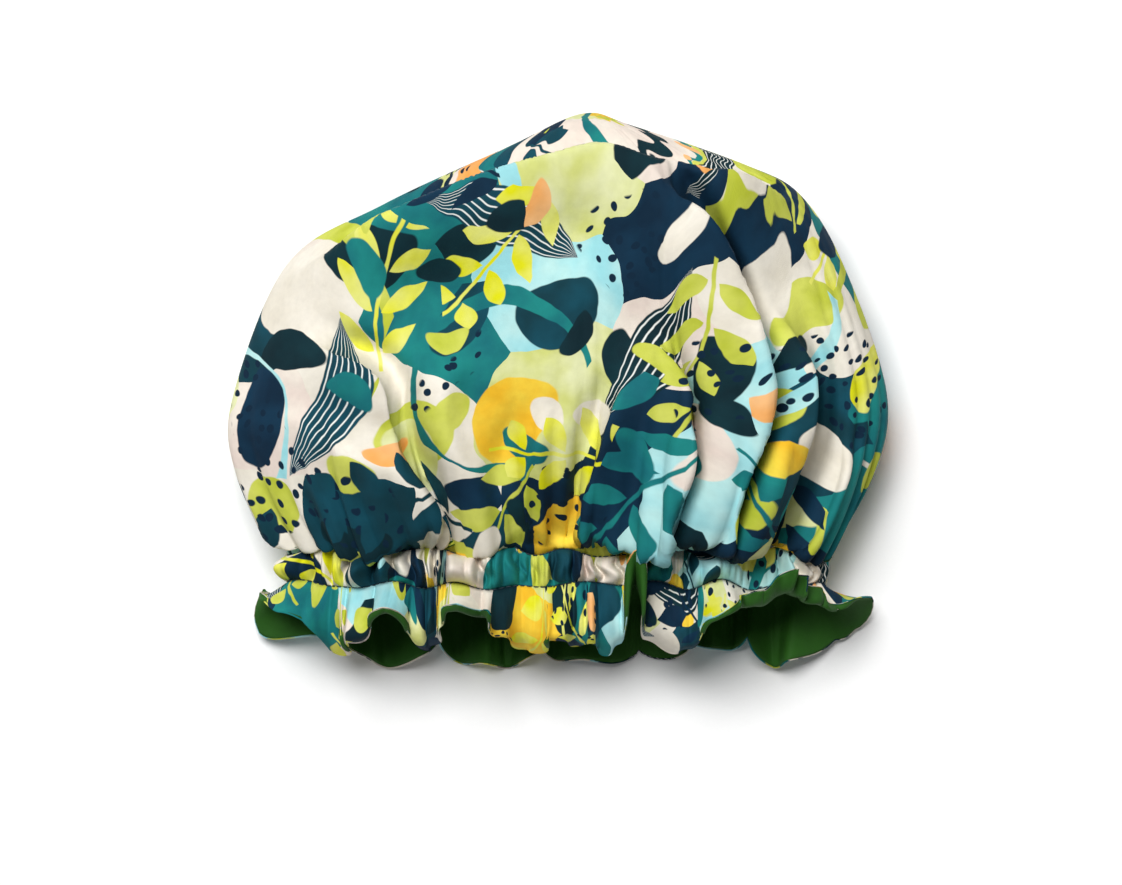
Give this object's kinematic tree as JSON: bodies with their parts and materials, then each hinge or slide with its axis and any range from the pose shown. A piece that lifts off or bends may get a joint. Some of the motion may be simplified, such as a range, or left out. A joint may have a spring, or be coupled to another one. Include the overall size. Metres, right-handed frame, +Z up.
{
  "type": "hair bonnet",
  "caption": "Gathered cloth hair bonnet with a plain lining, an elastic in a stitched casing and a lined ruffle round its mouth, lying on its back.",
  "frame": {"origin": "under the middle of the bonnet's bounding box, on the surface it lies on", "axes": "+Z up from the surface, +Y from the mouth to the top of the crown, +X to the right seen from above with the mouth nearest"},
  "size_m": [0.2844, 0.2442, 0.0925],
  "materials": {
    "printed_cloth": "matte printed cotton",
    "lining_cloth": "matte plain cotton",
    "elastic": "knitted white",
    "dark_thread": "matte",
    "green_thread": "matte"
  },
  "bodies": {
    "root": {"crown_outer": "printed_cloth", "crown_lining": "lining_cloth", "casing_outer": "printed_cloth", "casing_lining": "lining_cloth", "elastic_band": "elastic", "elastic_join_stitch": "dark_thread", "elastic_gap_stitch": "green_thread", "upper_stitch_row": "dark_thread", "lower_stitch_row": "dark_thread", "ruffle_outer": "printed_cloth", "ruffle_lining": "lining_cloth", "ruffle_edge_seam": "printed_cloth"}
  },
  "joints": []
}
